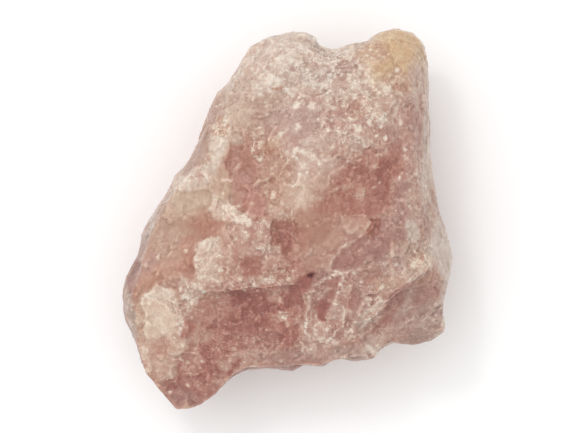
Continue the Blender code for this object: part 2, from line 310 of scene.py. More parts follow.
# Where the inside shows through the skin. Each patch is an oval or a closed outline in mm, seen
# from above with +Y away, with how softly it fades in mm and the four shares that it brings:
# pale (0 deep clear rose, 1 milk white), ochre (iron stain), grey (ashen) and grain (crushed).
# Later patches lie over earlier ones.
OVALS = (
    # centre x, y, half sizes, turn in degrees, fade, pale, ochre, grey, grain
    # the milky granular end
    (3, 39, 24, 12, 0, 4, 0.76, 0.18, 0.42, 0.6),
    (0, 44, 12, 7, 0, 4, 0.82, 0.16, 0.48, 0.4),
    (-8, 42, 6, 6, 40, 3.5, 0.78, 0.14, 0.35, 0.35),
    (12, 42, 8, 4, 0, 2.5, 0.74, 0.15, 0.30, 0.8),
    (14, 38, 5, 3, 0, 2.5, 0.62, 0.10, 0.45, 0.8),
    (3, 37, 4, 3, 20, 2, 0.70, 0.15, 0.45, 0.7),
    (8, 37, 4.5, 3, 0, 2, 0.84, 0.15, 0.60, 0.8),
    (20, 36, 6, 3.5, 10, 2, 0.80, 0.20, 0.30, 0.7),
    (21, 32.5, 6, 3, -10, 2, 0.80, 0.20, 0.30, 0.7),
    (2.5, 32.5, 4, 2.5, 0, 1.2, 0.66, 0.20, 0.35, 0.2),
    (-4, 34, 5, 2.5, -10, 2, 0.82, 0.18, 0.50, 0.4),
    (13, 35, 2.5, 2, 0, 1.5, 0.60, 0.15, 0.45, 0.5),
    (7.5, 31, 2, 2, 0, 1.5, 0.50, 0.15, 0.40, 0.4),
    # the stained knob
    (30, 42, 9, 10, -20, 5, 0.60, 0.95, 0.0, 0.15),
    (30, 46, 8, 4, 0, 3, 0.62, 1.0, 0.0, 0.05),
    (22, 43.5, 4, 3.5, 0, 2.5, 0.62, 0.50, 0.05, 0.4),
    (28, 34, 4.5, 4, 0, 3, 0.46, 0.40, 0.2, 0.4),
    (28, 30, 6, 3, 0, 2.5, 0.60, 0.40, 0.35, 0.3),
    (34.5, 35, 2.5, 6, 0, 4, 0.58, 0.25, 0.4, 0.1),
    # the far left shoulder
    (-12, 32, 7, 4, 30, 4, 0.57, 0.50, 0.50, 0.3),
    (-9, 28, 9, 5, 20, 4, 0.50, 0.50, 0.45, 0.35),
    (-13, 27, 3.5, 3.5, 0, 2.5, 0.54, 0.60, 0.45, 0.2),
    (-7, 33, 3.4, 2.0, 0, 1.5, 0.76, 0.25, 0.5, 0.3),
    (-23.5, 20, 3.2, 10, -24, 2, 0.32, 0.55, 0.50, 0.0),
    (-26.5, 14, 2.2, 4, -40, 1.5, 0.40, 0.15, 0.5, 0.1),
    (-17.6, 17.5, 2.4, 9, -6, 2, 0.84, 0.50, 0.55, 0.05),
    (-17.5, 24, 2.4, 3, 0, 1, 0.84, 0.20, 0.0, 1.0),
    (-7, 25, 2.5, 2.5, 0, 2, 0.40, 0.45, 0.35, 0.3),
    (-13, 21, 3, 2.5, 0, 2, 0.60, 0.35, 0.30, 0.3),
    # the rosy hollow beside it, and the patches round it
    (-12, 12, 5, 9, 0, 3, 0.26, 0.22, 0.05, 0.1),
    (-11.5, 16, 4, 5, 0, 3, 0.26, 0.22, 0.1, 0.1),
    (-8, 3, 4, 5, 20, 2, 0.28, 0.05, 0.0, 0.2),
    (-17.5, 8, 3, 5, 0, 2.5, 0.46, 0.65, 0.3, 0.1),
    (-8, 18, 1.8, 3, 10, 1, 0.62, 0.10, 0.0, 1.0),
    (-17.5, 1.5, 2.4, 4, 0, 2, 0.64, 0.35, 0.35, 0.2),
    (-3, 9, 4, 7, 0, 3, 0.42, 0.32, 0.1, 0.5),
    (-3.5, 18.5, 4, 1.8, 0, 1, 0.34, 0.35, 0.0, 0.5),
    # the left hollow
    (-29, 1, 10, 10, 10, 5, 0.50, 0.50, 0.30, 0.0),
    (-26, 5.5, 8, 4, 5, 5, 0.66, 0.70, 0.42, 0.0),
    (-21, -3, 6, 5, 30, 6, 0.30, 0.28, 0.0, 0.0),
    (-31, -6, 8, 5, -15, 5, 0.45, 0.40, 0.30, 0.0),
    (-27, -11.5, 4, 4, 0, 3.5, 0.28, 0.25, 0.0, 0.1),
    (-33, -10, 5, 3, 0, 3, 0.46, 0.30, 0.20, 0.25),
    (-38, -13, 4, 5, 0, 4, 0.40, 0.10, 0.35, 0.0),
    (-35, -16, 6, 2.5, 35, 3, 0.42, 0.30, 0.0, 0.0),
    (-36.8, -2, 2.0, 12, -22, 2, 0.58, 0.25, 0.85, 0.0),
    (-31.0, 8, 1.6, 6, -30, 2, 0.56, 0.20, 0.65, 0.0),
    # the far left rim, darkened as painted shade
    (-42, -16, 1.8, 9, -12, 2, 0.26, 0.10, 0.40, 0.0),
    (-25, 9.5, 6, 2.4, 10, 1.6, 0.80, 0.20, 0.40, 0.25),
    (-23, 12, 3, 2, 10, 1.2, 0.72, 0.10, 0.2, 0.4),
    # the middle
    (-9, -7, 8, 8, 0, 3, 0.57, 0.05, 0.1, 0.4),
    (-16, -8, 3, 5, 0, 2, 0.60, 0.20, 0.1, 0.2),
    (-10, -12.5, 3.5, 2.5, 20, 1.5, 0.26, 0.05, 0.0, 0.3),
    (-5.0, -5, 2.7, 6.5, 5, 1.2, 0.78, 0.05, 0.1, 0.6),
    (-2, -14, 4, 2.5, 0, 1.5, 0.52, 0.05, 0.0, 0.8),
    (-20, -15.5, 5.5, 2.4, 50, 1.6, 0.78, 0.05, 0.05, 0.4),
    (-23, -19, 3, 2.4, 20, 1.5, 0.66, 0.05, 0.05, 0.7),
    (-4, 0.8, 4.5, 1.9, 10, 1.5, 0.64, 0.12, 0.15, 0.4),
    # the pale veil through the middle
    (4, 8, 4.5, 8, -25, 5, 0.72, 0.18, 0.15, 0.1),
    (8, 13.5, 6, 5.5, -30, 5, 0.80, 0.08, 0.20, 0.2),
    (6, 20, 7, 5, 0, 4, 0.60, 0.10, 0.40, 0.2),
    (4, 26, 9, 4, 0, 4, 0.52, 0.10, 0.50, 0.2),
    (18, 25, 9, 6, 5, 4, 0.60, 0.08, 0.25, 0.60),
    (18, 29, 7, 2.5, 0, 3, 0.58, 0.22, 0.2, 0.6),
    (12, 26, 4, 4, 0, 3, 0.58, 0.05, 0.30, 0.55),
    (21, 20.5, 6, 2.4, 10, 2, 0.70, 0.08, 0.15, 0.6),
    (29, 26, 5, 7, 0, 4, 0.44, 0.05, 0.35, 0.3),
    (25, 29, 4, 5, -20, 3, 0.68, 0.18, 0.25, 0.4),
    (32, 25, 2.2, 4, 0, 1.8, 0.34, 0.10, 0.25, 0.3),
    (31, 17, 2.5, 7, 0, 2, 0.50, 0.0, 0.15, 0.3),
    # the deep rose hollow on the right
    (19, 9, 10, 8, 25, 6, 0.24, 0.10, 0.0, 0.4),
    (26, 13, 4, 7, 0, 4, 0.20, 0.08, 0.0, 0.4),
    (23.5, 6, 4, 3, 0, 3, 0.12, 0.05, 0.0, 0.2),
    (24.5, 12, 1.6, 5, -12, 1.5, 0.02, 0.10, 0.0, 0.4),
    (20, 13, 3.0, 1.6, 15, 1.5, 0.08, 0.12, 0.0, 0.3),
    (16, 10.5, 2.4, 1.2, -10, 1.2, 0.36, 0.10, 0.0, 0.5),
    (27.5, 8, 1.8, 3.4, 10, 1.2, 0.50, 0.05, 0.1, 0.5),
    (22, 7.8, 2.2, 0.9, 20, 1.0, 0.38, 0.05, 0.0, 0.6),
    (13, 3, 6, 2.5, 10, 2, 0.22, 0.12, 0.0, 0.1),
    (20, 3, 6, 2.5, 0, 2, 0.20, 0.05, 0.0, 0.1),
    (12.5, 15.0, 9, 3.4, 36, 3.5, 0.58, 0.05, 0.10, 0.3),
    (18, 19, 4.5, 2.2, 5, 2, 0.72, 0.08, 0.2, 0.5),
    (18.5, 5.5, 1.6, 3, 10, 1.5, 0.54, 0.05, 0.0, 0.4),
    (23.5, 17.5, 3.5, 2.2, 0, 2, 0.48, 0.05, 0.12, 0.5),
    (13, 24, 2, 1.5, 0, 1.5, 0.46, 0.05, 0.2, 0.5),
    (3.5, 16.4, 3, 2.0, 0, 2, 0.76, 0.10, 0.2, 0.4),
    (30, 5, 2.5, 6, 0, 2, 0.34, 0.0, 0.35, 0.2),
    (34, 6, 3, 11, -3, 2, 0.54, 0.15, 0.3, 0.4),
    # the smooth facet in front of it
    (7, -4, 10, 5.5, -15, 4, 0.34, 0.28, 0.1, 0.0),
    (11, -7.5, 3, 6, -40, 3, 0.46, 0.20, 0.1, 0.1),
    (16.5, -3, 4, 3, 10, 2.5, 0.48, 0.12, 0.15, 0.1),
    (6, -10, 5, 2.5, 10, 2.5, 0.46, 0.10, 0.15, 0.1),
    (23.5, -3, 3.5, 2.8, 0, 1.2, 0.08, 0.20, 0.0, 0.2),
    (16, -9, 5.5, 3.6, 25, 2, 0.24, 0.0, 0.25, 0.1),
    (23, -8, 4, 3.5, 0, 2, 0.24, 0.0, 0.3, 0.2),
    (10, -15, 3.5, 3, 0, 2, 0.30, 0.0, 0.3, 0.2),
    # the dark pocket right of the step: deep clear rose, and painted shadow cast by the step
    (-0.8, -5.0, 4.2, 5.6, -8, 6.5, 0.18, 0.12, 0.0, 0.4),
    # the right block and edge
    (33, -9, 6, 6.5, 0, 2, 0.60, 0.35, 0.40, 0.7),
    (35, -11, 3.5, 2, 0, 1, 0.80, 0.20, 0.0, 0.5),
    (28, -3, 3.5, 4, 0, 2, 0.28, 0.05, 0.35, 0.3),
    (32, -2.8, 2, 3.4, 0, 1.5, 0.72, 0.1, 0.6, 0.3),
    (36.5, -2, 2, 3, 0, 1.5, 0.30, 0.2, 0.4, 0.3),
    (41, -9, 2.6, 11, 12, 2.5, 0.70, 0.25, 0.75, 0.05),
    (37, 20, 1.8, 16, -2, 2, 0.70, 0.25, 0.7, 0.1),
    # the feathered fan of ridges
    (14, -23, 10, 9, 0, 4, 0.48, 0.02, 0.2, 0.8),
    (7, -30, 3.8, 6, -12, 2, 0.64, 0.0, 0.0, 0.5),
    (18, -22, 2.5, 4, -10, 1.5, 0.48, 0.0, 0.3, 0.4),
    (12.5, -26, 2.4, 3, -10, 1.5, 0.70, 0.0, 0.15, 0.4),
    (11.8, -18.5, 1.6, 3.5, -8, 1.5, 0.28, 0.0, 0.1, 0.5),
    (15, -20, 2, 5, -15, 1.2, 0.50, 0.0, 0.1, 0.5),
    (20.5, -28, 2.5, 4, -20, 2, 0.66, 0.05, 0.2, 0.5),
    (27.5, -11.5, 3, 4, 0, 2, 0.52, 0.05, 0.45, 0.4),
    (28, -17, 5, 2.5, 38, 1.2, 0.60, 0.15, 0.1, 0.3),
    # the break under the right ledge
    (32, -25, 9, 6, 30, 3, 0.44, 0.05, 0.45, 0.3),
    (24.5, -28, 3.5, 4.5, -20, 2, 0.60, 0.05, 0.3, 0.4),
    (22, -34, 3, 2.5, 0, 2, 0.78, 0.1, 0.4, 0.3),
    (40.5, -25, 1.6, 5, 0, 1, 0.72, 0.15, 0.6, 0.3),
    (28, -21, 5, 1.8, 42, 1.0, 0.20, 0.05, 0.25, 0.2),
    (36, -20, 4, 2.5, 30, 1.5, 0.27, 0.08, 0.32, 0.2),
    (37.5, -27, 4, 5, 0, 2.5, 0.44, 0.15, 0.6, 0.4),
    (35, -32, 6, 2, 20, 1.5, 0.36, 0.25, 0.7, 0.3),
    (15, -36, 12, 3.0, 4, 2.5, 0.46, 0.12, 0.5, 0.3),
    # the dark hollow under the lower ledge
    (-11, -24.5, 14, 6, 0, 2.5, 0.12, 0.0, 0.0, 0.55),
    (-7, -20.5, 8, 2.3, 0, 1.5, 0.08, 0.0, 0.0, 0.35),
    (-21, -22, 6, 5, 20, 4, 0.38, 0.12, 0.1, 0.4),
    (-4, -19.0, 3.5, 1.9, 0, 1.5, 0.42, 0.0, 0.0, 0.4),
    (-1, -23, 5, 3, 20, 1.5, 0.04, 0.0, 0.0, 0.5),
    (3.5, -17.5, 1.8, 5, -40, 1, 0.05, 0.0, 0.0, 0.2),
    (-2, -25.8, 2.6, 1.2, 5, 0.8, 0.60, 0.05, 0.0, 0.8),
    (0, -31, 3, 4, -15, 2, 0.12, 0.0, 0.0, 0.4),
    (-10, -33, 8, 3, 5, 2.5, 0.30, 0.0, 0.1, 0.6),
    (-11, -37, 6, 2, 25, 1.5, 0.46, 0.05, 0.1, 0.4),
    (-17.5, -33.5, 5, 3.5, 0, 2, 0.32, 0.0, 0.0, 0.6),
    (-22, -36, 3.5, 3.5, 0, 2, 0.20, 0.0, 0.0, 0.6),
    (-14, -38, 3, 2.0, 30, 1.5, 0.60, 0.0, 0.1, 0.5),
    (1.5, -25, 1.5, 3, 0, 1.5, 0.38, 0.0, 0.0, 0.4),
    (2.5, -13, 2, 2.5, 0, 1.5, 0.36, 0.0, 0.0, 0.3),
    (-1, -38, 8, 2.5, 0, 2, 0.38, 0.05, 0.35, 0.3),
    # the near left tip
    (-25, -43, 8, 6.5, -20, 3.5, 0.20, 0.05, 0.12, 0.4),
    (-21, -39, 3, 4, 0, 1.5, 0.10, 0.0, 0.0, 0.6),
    (-25.8, -37.5, 3.0, 3.5, 0, 2, 0.50, 0.0, 0.0, 0.3),
    (-18.4, -43, 2.0, 2.4, -30, 1.5, 0.40, 0.05, 0.1, 0.5),
    (-28, -47.3, 6, 2.0, -5, 1, 0.20, 0.08, 0.30, 0.2),
    (-41, -25, 1.7, 7, 8, 0.8, 0.50, 0.30, 0.85, 0.1),
)
OUTLINED = (
    # fade, pale, ochre, grey, grain, outline
    # raised pale lump at the near left
    (1.0, 0.76, 0.24, 0.12, 0.3, ((-40, -23), (-38, -20), (-34.5, -17.5), (-31, -18),
     (-28.6, -20.5), (-28, -24), (-27.4, -28), (-27.2, -33), (-28.6, -36), (-29.0, -41),
     (-33, -43), (-37, -41), (-39, -35), (-40.2, -29))),
    # its lower half is clearer
    (3.0, 0.62, 0.08, 0.05, 0.1, ((-38, -33), (-33, -31), (-28, -33.5), (-29.5, -36),
     (-30.2, -41), (-33, -43), (-37, -41))),
    # white flake
    (0.8, 0.76, 0.10, 0.12, 0.3, ((-20.2, 7.2), (-19.6, 5), (-20.3, 2.3), (-19.2, 0.2),
     (-16.3, -1), (-12.5, -0.8), (-9.6, -1.2), (-9, -0.2), (-10.6, 1), (-12.5, 1.6),
     (-14.4, 3.4), (-16.3, 4.3), (-18.1, 4.6), (-19.2, 6.6))),
    # white chip beside the left hollow
    (0.9, 0.77, 0.18, 0.16, 0.35, ((-16.5, -4.4), (-19, -4.2), (-22, -5.2), (-24.5, -7.5),
     (-24.8, -11), (-24.2, -15), (-22, -18), (-19.5, -16.5), (-18, -13), (-17.3, -8))),
    # crumbly patch between the chip and the lump
    (1.6, 0.80, 0.05, 0.05, 0.6, ((-28, -15.5), (-24.5, -15.5), (-22.5, -18), (-23.5, -22.5),
     (-27.5, -22), (-29.5, -19))),
    # dark pocket in the fan
    (0.5, 0.04, 0.0, 0.0, 0.2, ((8.3, -20), (10.3, -22.5), (9.3, -26.6), (8.2, -26.2),
     (7, -23.5))),
)
# Bright or dark lines: hairline cracks, crushed edges and the ribs of the fan.
LINES = (
    # half width, fade, pale, ochre, grey, grain, points
    (0.7, 0.9, 0.64, 0.0, 0.0, 0.7, ((-14, -16.6), (-8, -17.2), (-3, -17.0), (-1, -16.2))),
    (0.4, 0.5, 0.70, 0.05, 0.0, 0.4, ((-27.4, -27), (-27.6, -32.8))),
    (0.5, 0.5, 0.82, 0.10, 0.0, 0.4, ((-33, -42.8), (-30.6, -41.4))),
    (0.35, 0.5, 0.62, 0.05, 0.0, 0.3, ((11, -12.4), (12.4, -9.8), (15, -7), (17.2, -5.2),
     (19.8, -4.2), (20.2, -1), (19.6, 0.4))),
    (0.3, 0.4, 0.60, 0.05, 0.0, 0.3, ((13.5, 1.0), (17, 0.9), (20, 0.4), (24.5, 0.9))),
    (0.2, 0.3, 0.48, 0.05, 0.0, 0.2, ((12.3, 1.5), (12.1, -1), (12.7, -4.5))),
    (0.3, 0.4, 0.50, 0.05, 0.0, 0.3, ((11.5, 7.3), (14.2, 8.3), (15.5, 7.6), (17, 8.0))),
    (0.25, 0.3, 0.66, 0.0, 0.1, 0.2, ((30, 17), (32, 15.2))),
    (0.25, 0.3, 0.56, 0.0, 0.0, 0.4, ((26.2, 6.2), (27, 3.5), (26.4, -1.5))),
    (0.6, 0.6, 0.74, 0.10, 0.0, 0.3, ((18.2, -28.6), (20, -26.4), (22.5, -24.4))),
    (0.5, 0.6, 0.78, 0.10, 0.0, 0.3, ((31, -16.6), (33.5, -14.8), (35.5, -13.4))),
    (0.4, 0.5, 0.70, 0.10, 0.0, 0.3, ((27.4, -7), (26.4, -11), (27.0, -15))),
    (0.5, 0.5, 0.66, 0.0, 0.1, 0.2, ((11.6, -14.6), (15.4, -14.2))),
    (0.4, 0.5, 0.60, 0.0, 0.1, 0.2, ((16, -13.6), (19.2, -13.2))),
    (0.5, 0.8, 0.52, 0.0, 0.1, 0.5, ((14.5, -15), (13.2, -18), (11, -24), (10, -29))),
    (0.5, 0.8, 0.60, 0.05, 0.1, 0.5, ((5.5, -20), (5.2, -26), (5.4, -33.5))),
    (0.5, 0.8, 0.60, 0.0, 0.1, 0.4, ((20, -21), (17.5, -27), (16, -30))),
    (0.5, 0.8, 0.58, 0.1, 0.1, 0.4, ((23.5, -18), (22, -22), (20.5, -25))),
    (0.5, 0.8, 0.62, 0.05, 0.1, 0.5, ((15.5, -24), (13, -28), (10, -33))),
    (0.5, 0.9, 0.56, 0.1, 0.2, 0.4, ((17, -31), (13, -33), (10, -34))),
    (0.7, 0.5, 0.88, 0.10, 0.0, 0.3, ((5.2, 16.6), (6.3, 14.8))),
    (0.6, 0.5, 0.82, 0.10, 0.0, 0.5, ((-3.5, 20.6), (-1, 22))),
    (0.6, 0.5, 0.84, 0.10, 0.0, 0.3, ((-17, 10.6), (-15.2, 10.8))),
    (0.6, 0.6, 0.84, 0.05, 0.0, 0.5, ((-4, 34.4), (-2.4, 34.8))),
    (0.5, 0.6, 0.42, 0.40, 0.1, 0.4, ((-3.4, 33.0), (-1.6, 32.8))),
    (0.5, 0.4, 0.10, 0.10, 0.0, 0.3, ((-15.4, -40.6), (-14, -38.8), (-11.6, -36))),
    (0.3, 0.3, 0.90, 0.0, 0.0, 0.2, ((14.3, 21.8), (14.7, 20.6))),
    (0.4, 0.4, 0.78, 0.05, 0.0, 0.2, ((-4.6, 6.6), (-4.2, 4.6))),
)
LINE_LIFT = 0.04  # how much paler each line is than its row says
# Ovals that lie over the outlined patches and the lines, set out as the first ones are.
OVER = (
    # the dark pocket right of the step again: deep clear rose, and painted shadow cast by the step
    (0.4, -3.8, 2.6, 2.6, 0, 3.0, 0.24, 0.15, 0.0, 0.4),
    (0.4, -6.4, 1.9, 3.2, 30, 2.8, 0.14, 0.0, 0.0, 0.4),
    (-3.2, 35.2, 2.4, 1.5, -10, 1.0, 1.0, 0.12, 0.40, 0.4),
    (9.5, 13.8, 3.4, 2.6, -20, 3.0, 0.76, 0.08, 0.20, 0.2),
    (17.5, 20.3, 4.0, 1.5, 0, 1.5, 0.80, 0.08, 0.20, 0.5),
    (-3.5, -21, 2.0, 1.2, 0, 1.5, 0.45, 0.0, 0.0, 0.4),
    (-23, -19.3, 2.2, 1.6, 20, 1.2, 0.80, 0.05, 0.05, 0.4),
    (-16.5, 2.2, 2.6, 1.9, -35, 1.0, 0.88, 0.14, 0.15, 0.4),
    (-25.8, -6.6, 2.0, 2.2, 0, 1.5, 0.36, 0.25, 0.0, 0.0),
    (-26.5, -24, 1.6, 2.4, 10, 1.2, 0.66, 0.05, 0.05, 0.5),
    (-27.3, -31.2, 1.8, 2.2, 10, 1.2, 0.72, 0.05, 0.05, 0.3),
    (-6, -16.2, 1.8, 1.2, 0, 1.2, 0.86, 0.0, 0.0, 0.5),
    (-13, -16.8, 4.2, 1.6, -5, 1.5, 0.54, 0.0, 0.0, 0.5),
    (1.2, 19.6, 1.3, 1.3, 0, 0.8, 0.36, 0.10, 0.3, 0.0),
    (4.4, 17.0, 1.6, 0.9, -20, 0.8, 1.0, 0.05, 0.0, 0.6),
    (24, 25, 1.6, 1.2, 0, 1.0, 0.92, 0.05, 0.1, 0.6),
    (30, 33.6, 2.6, 1.3, 0, 1.2, 0.38, 0.40, 0.15, 0.3),
    (-7.2, 1.0, 1.6, 1.6, 0, 1.2, 0.30, 0.05, 0.0, 0.2),
    (8.5, 9.5, 3.0, 2.0, 0, 2.5, 0.62, 0.12, 0.10, 0.1),
    (8, -35, 2.5, 1.6, 0, 1.5, 0.68, 0.0, 0.10, 0.4),
    (-3, -29, 2.0, 2.0, 0, 1.5, 0.32, 0.0, 0.0, 0.4),
    (22.5, -34, 2.0, 1.8, 0, 1.2, 0.84, 0.10, 0.35, 0.3),
    (21.5, 15.5, 2.0, 3.2, 0, 2.0, 0.42, 0.08, 0.05, 0.3),
    (24.5, 33, 1.8, 2.2, 0, 1.5, 0.84, 0.30, 0.30, 0.5),
    (-20.5, 13.2, 2.2, 1.3, -20, 1.2, 0.82, 0.35, 0.50, 0.2),
    (-13.5, 20.5, 2.0, 2.0, 0, 1.5, 0.62, 0.40, 0.40, 0.3),
    (33.5, 23, 1.6, 4.0, 0, 1.5, 0.32, 0.10, 0.25, 0.2),
    (-6.6, -4.4, 2.1, 4.4, 4, 0.8, 0.70, 0.05, 0.08, 0.6),
    (-3.8, -9.0, 3.0, 1.4, -49, 0.8, 0.68, 0.05, 0.05, 0.6),
    (-5.4, -10.9, 1.3, 1.3, 0, 0.8, 0.48, 0.05, 0.10, 0.0),
    (2.6, -8.8, 2.0, 1.8, 20, 2.0, 0.34, 0.10, 0.05, 0.2),
    (21.5, -24.8, 6.5, 1.3, 50, 1.2, 0.76, 0.08, 0.10, 0.5),
    (25.8, -26.4, 5.0, 1.1, 48, 1.2, 0.34, 0.05, 0.10, 0.3),
    (-1.6, 0.5, 2.6, 0.9, 10, 1.0, 0.66, 0.15, 0.1, 0.3),
    (-26.2, -28.5, 2.2, 2.4, 0, 1.5, 0.28, 0.0, 0.0, 0.3),
    (-12.6, 0.9, 2.6, 1.1, -30, 0.8, 0.98, 0.05, 0.0, 1.0),
    (-19.4, 5.0, 1.6, 0.7, -70, 0.8, 0.92, 0.10, 0.0, 0.8),
    (-20, -6.4, 2.8, 1.6, 10, 1.2, 0.76, 0.20, 0.3, 0.4),
    (-23.6, -10.5, 0.8, 4.0, 6, 0.8, 0.90, 0.05, 0.0, 0.8),
    (-15.0, -9.5, 2.6, 6.5, -8, 2.0, 0.50, 0.05, 0.05, 0.4),
    (-34, -20, 4.0, 2.2, 10, 1.5, 0.86, 0.18, 0.15, 0.2),
    (-34.5, -26.5, 5, 5, 0, 2.5, 0.84, 0.25, 0.10, 0.1),
    (-28.2, -28.0, 0.8, 3.4, -8, 0.8, 0.84, 0.05, 0.0, 0.6),
    (-38.6, -27, 1.3, 5, 5, 1.0, 0.70, 0.30, 0.1, 0.5),
    (-33, -33.5, 2.0, 3.0, 0, 1.5, 0.60, 0.10, 0.0, 0.3),
)
# White bruises, each a small crushed spot: x, y and half size in mm.
BRUISES = (
    (-26.5, -8.5, 0.5), (-34, -10.4, 0.45), (-12.8, 13.8, 0.4), (-16.8, 6.4, 0.35),
    (-9.3, 4.0, 0.35), (-17.6, -13.5, 0.5), (-22.6, -11.2, 0.4),
    (18.5, -8.6, 0.35), (6.2, 29.3, 0.9), (2.3, 29.6, 1.0), (12.0, 28.6, 0.7),
    (25.0, 20.9, 0.7), (16.2, 25.8, 0.7), (17.8, 23.2, 0.9), (20.9, 25.4, 0.6),
    (29.3, 24.6, 0.35), (24.6, 25.2, 0.6), (-8.9, 31.2, 0.4), (33.1, -8.7, 0.4),
    (-25.9, -43.8, 0.45), (-30.9, -45.8, 0.35), (-22.4, -37.2, 0.4), (-26.8, -20.8, 0.6),
    (2.6, 23.8, 0.7), (28.8, 38.4, 0.7), (29.3, 10.2, 0.4),
    (31.0, 18.0, 0.5), (15.7, 14.8, 0.35), (8.0, 14.4, 0.5),
)
BRUISE = (1.1, 0.05, 0.0)  # pale, ochre and grey, with the grain left as it is
BRUISE_SHARE = 0.9
# Dark inclusions: x, y, half size in mm and how dark. Past 1, a grain is solid to its edge.
SPECKS = (
    (5.4, -14.9, 0.36, 1.4), (6.0, -14.75, 0.5, 1.4), (6.3, -14.5, 0.4, 1.4),
    (6.2, -15.1, 0.34, 1.4), (34.0, 43.2, 0.12, 0.8),
    (31.1, 49.0, 0.25, 0.5), (-35.0, -8.4, 0.2, 0.3), (-11.0, -1.8, 0.15, 0.5),
    (-9.4, 36.3, 0.25, 0.3), (-2.6, 33.3, 0.30, 0.25), (-1.8, 33.0, 0.25, 0.25),
    (-17.2, 32.0, 0.3, 0.3), (-23.4, -12.4, 0.25, 0.4), (-14.8, -40.4, 0.35, 0.5),
    (-12.6, -37.2, 0.2, 0.5), (-13.6, -38.6, 0.25, 0.4), (12.6, -19.4, 0.2, 0.3),
    (18.0, 23.9, 0.2, 0.3),
)
# The shares of the upper face before anything is painted on it.
shares = {
    "pale": np.full(len(xy), 0.44),
    "ochre": np.full(len(xy), 0.20),
    "grey": np.full(len(xy), 0.20),
    "grain": np.full(len(xy), 0.35),
}


def paint(mask, values):
    """Brings the shares towards the values where the mask is."""
    for name, value in zip(shares, values):
        shares[name] = shares[name] + mask * (value - shares[name])


def paint_ovals(xy, ovals):
    """Paints each oval in turn, fading across its edge."""
    for x, y, half_x, half_y, turn, fade, *values in ovals:
        c, s = math.cos(math.radians(turn)), math.sin(math.radians(turn))
        u = ((xy[:, 0] - x) * c + (xy[:, 1] - y) * s) / half_x
        v = (-(xy[:, 0] - x) * s + (xy[:, 1] - y) * c) / half_y
        inward = (1 - np.hypot(u, v)) * min(half_x, half_y)
        paint(smooth(-fade / 2, fade / 2, inward), values)


def inside_outline(xy, points):
    """Distance to a closed outline, positive inside it."""
    loop = [*points, points[0]]
    distance, _, _ = along_line(xy, loop)
    inside = np.zeros(len(xy), bool)
    for (x0, y0), (x1, y1) in zip(loop, loop[1:]):
        crosses = (y0 > xy[:, 1]) != (y1 > xy[:, 1])
        where = x0 + (xy[:, 1] - y0) * (x1 - x0) / ((y1 - y0) or 1e-9)
        inside ^= crosses & (xy[:, 0] < where)
    return np.where(inside, distance, -distance)


# Soft patches wander widely. Chips, lines and bruises keep nearer to their places, with crumbled
# edges.
flat = skin.points[:, :2]
paint_ovals(flat + 1.6 * drift(2, size=5.0, seed=61, layers=4, fall=0.6), OVALS)
crumbled = 0.5 * drift(2, size=1.4, seed=45, layers=2)
xy = flat + wander * 1.1 + crumbled
patchy = 0.75 + 0.25 * smooth(-0.35, 0.25, cloud(size=3.4, seed=51, fall=0.6))
for fade, *values, points in OUTLINED:
    paint(smooth(-fade / 2, fade / 2, inside_outline(xy, points)) * patchy, values)
for half_width, fade, pale, *others, points in LINES:
    distance, _, _ = along_line(xy, points)
    paint(smooth(-fade / 2, fade / 2, half_width - distance), (pale + LINE_LIFT, *others))
paint_ovals(flat + wander * 0.6 + crumbled, OVER)
xy = flat + wander * 0.25 + crumbled * 1.3
for x, y, half in BRUISES:
    distance = np.hypot(xy[:, 0] - x, xy[:, 1] - y)
    paint(smooth(-0.4, 0.3, half - distance) * BRUISE_SHARE, BRUISE)
speck = np.zeros(len(flat))
for x, y, half, dark in SPECKS:
    distance = np.hypot(flat[:, 0] - x, flat[:, 1] - y)
    speck = np.maximum(speck, np.minimum(1, dark * smooth(-0.3, 0.3, half - distance)))

# The sides and the underside: veils that run through the stone in tilted sheets, and clearer,
# stained, ashen and crushed parts between them. Sizes are in mm.
SHEETS = np.array([[0.8, 0.35, 0.2], [-0.3, 0.9, 0.25], [0.1, -0.5, 1.7]])
veils = cloud(size=14, seed=71, layers=5, fall=0.6, stretch=SHEETS.T)
clear = cloud(size=22, seed=83, layers=3)
stained = cloud(size=24, seed=91)
ashen = cloud(size=18, seed=97, layers=3)
crushed = cloud(size=15, seed=103, layers=3)
below_rim = 1 - 0.6 * smooth(10, 20, skin.points[:, 2])
sides = {
    "pale": 0.50 + 0.55 * veils + 0.30 * clear,
    "ochre": np.clip(0.08 + 0.7 * stained, 0, 1),
    "grey": np.clip(0.15 + 0.45 * ashen, 0, 1),
    "grain": np.clip(0.25 + 1.1 * crushed, 0, 1) * below_rim,
}
for name, value in sides.items():
    shares[name] = upper_skin * shares[name] + (1 - upper_skin) * value

# The crushed skin: shards of three sizes, each a small tilted and dished break.
SHARDS = (
    # size in mm; tilt, step and dish as shares of it; how much where not crushed; seed
    (5.2, 0.17, 0.04, 0.06, 0.45, 211),
    (2.3, 0.15, 0.03, 0.05, 0.22, 223),
    (1.1, 0.14, 0.03, 0.04, 0.10, 229),
)
PALE_SHARDS = 0.20  # how far shards differ in paleness where crushed
RIPPLE = 0.16  # mm


def shards(points, seed):
    """The surface split into cells of size 1: how far each point is from the middle of its cell,
    the way from there, and three random numbers for the cell."""
    scaled = points + 500.11
    base = np.floor(scaled)
    near = np.full(len(points), 9.0)
    away = np.zeros_like(points)
    owner = np.zeros_like(points)
    for shift in itertools.product((-1, 0, 1), repeat=3):
        cell = base + shift
        middle = cell + np.stack([random_of(cell, seed + k) for k in range(3)], axis=1)
        offset = scaled - middle
        distance = np.sqrt((offset * offset).sum(axis=1))
        closer = distance < near
        near = np.where(closer, distance, near)
        away[closer] = offset[closer]
        owner[closer] = cell[closer]
    random = np.stack([random_of(owner, seed + 7 + k) for k in range(3)], axis=1)
    return near, away, random


